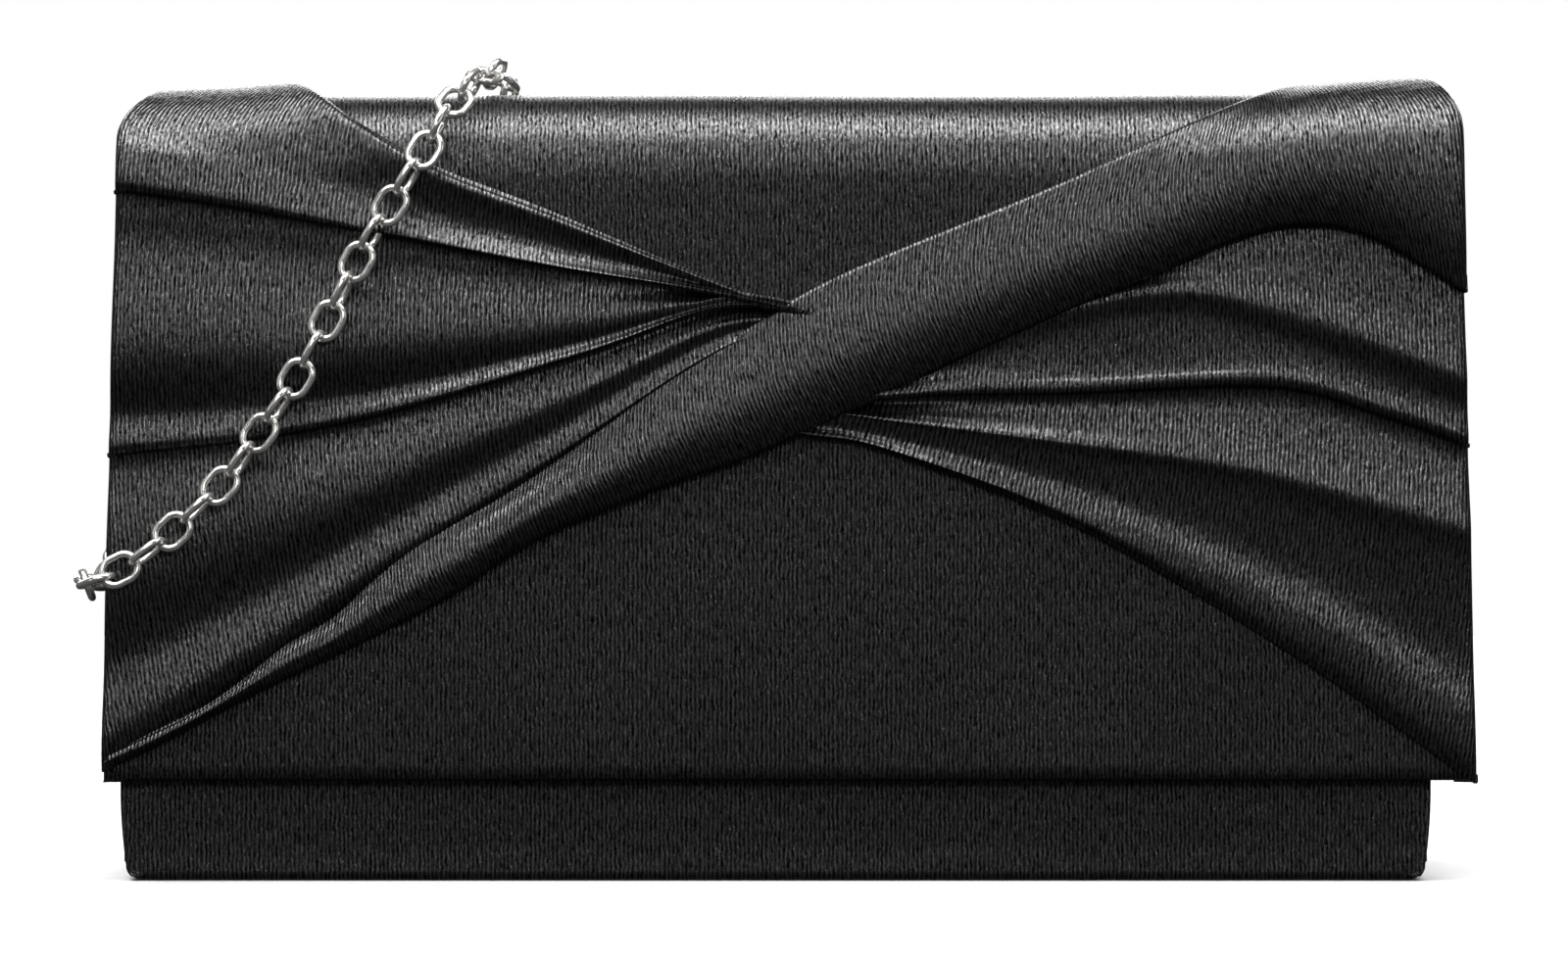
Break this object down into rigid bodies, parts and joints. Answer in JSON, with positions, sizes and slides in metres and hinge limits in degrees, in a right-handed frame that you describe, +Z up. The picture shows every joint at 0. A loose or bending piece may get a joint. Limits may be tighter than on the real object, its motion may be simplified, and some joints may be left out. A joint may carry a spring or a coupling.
{
  "type": "evening clutch bag",
  "caption": "Stiffened satin envelope clutch: domed flap with a crossed pleated drape, folding gussets, magnetic snaps and a cable-chain strap.",
  "frame": {"origin": "centre of the bag's footprint box on the surface it stands on", "axes": "+X along the width, to the right seen from the front; -Y towards the front of the flap; +Z up"},
  "size_m": [0.2666, 0.1092, 0.1566],
  "materials": {
    "satin": "ribbed shimmer satin, black",
    "drape_satin": "ribbed shimmer satin, black, pleated and gathered",
    "gusset_satin": "ribbed satin, black, folded",
    "lining": "plain woven satin lining, dark grey",
    "binding": "black grosgrain tape",
    "board": "grey-brown stiffening board",
    "foam": "thin grey felted wadding",
    "snap_metal": "plated steel",
    "magnet": "nickel-plated magnet",
    "polished_metal": "polished silver plate",
    "chain_metal": "polished silver-plated oval cable chain"
  },
  "bodies": {
    "bag_body": {"base_cover": "satin", "base_board": "board", "base_lining": "lining", "back_cover": "satin", "back_board": "board", "back_lining": "lining", "slip_pocket": "lining", "pocket_binding": "binding", "gusset_left_rear": "gusset_satin", "gusset_right_rear": "gusset_satin", "chain_tab_left": "binding", "chain_tab_right": "binding", "d_ring_left": "polished_metal", "d_ring_right": "polished_metal", "clasp_hook_left": "polished_metal", "clasp_hook_right": "polished_metal", "clasp_pin_left": "polished_metal", "clasp_pin_right": "polished_metal", "chain_left_run": "chain_metal", "chain_back_run": "chain_metal", "chain_hank": "chain_metal", "chain_right_run": "chain_metal", "chain_tie": "binding"},
    "front_panel": {"front_cover": "satin", "front_board": "board", "front_lining": "lining", "mouth_binding": "binding", "gusset_left_front": "gusset_satin", "gusset_right_front": "gusset_satin", "snap_sockets": "snap_metal", "socket_magnets": "magnet"},
    "flap": {"flap_cover": "satin", "flap_padding": "foam", "flap_board": "board", "flap_lining": "lining", "drape_left_fan": "drape_satin", "drape_right_fan": "drape_satin", "drape_band": "drape_satin", "snap_studs": "snap_metal", "stud_washers": "snap_metal", "chain_front_run": "chain_metal"},
    "lever_left": {"clasp_lever_left": "polished_metal"},
    "lever_right": {"clasp_lever_right": "polished_metal"}
  },
  "joints": [
    {"name": "flap_hinge", "type": "hinge", "parent": "bag_body", "child": "flap", "pos_m": [0, 0.0186, 0.13401], "axis": [-1, 0, 0], "range_deg": [0, 160]},
    {"name": "front_lean", "type": "hinge", "parent": "bag_body", "child": "front_panel", "pos_m": [0, -0.02183, 0.003], "axis": [1, 0, 0], "range_deg": [0, 12.8]},
    {"name": "lever_left_pivot", "type": "hinge", "parent": "bag_body", "child": "lever_left", "pos_m": [-0.12097, 0.0075, 0.12959], "axis": [0, 1, 0], "range_deg": [0, 15], "stiffness_Nm_per_rad": 0.002},
    {"name": "lever_right_pivot", "type": "hinge", "parent": "bag_body", "child": "lever_right", "pos_m": [0.11597, 0.0075, 0.12959], "axis": [0, -1, 0], "range_deg": [0, 15], "stiffness_Nm_per_rad": 0.002}
  ],
  "couplings": [
    {"joint": "front_lean", "follows": "flap_hinge", "ratio": 0.08}
  ]
}
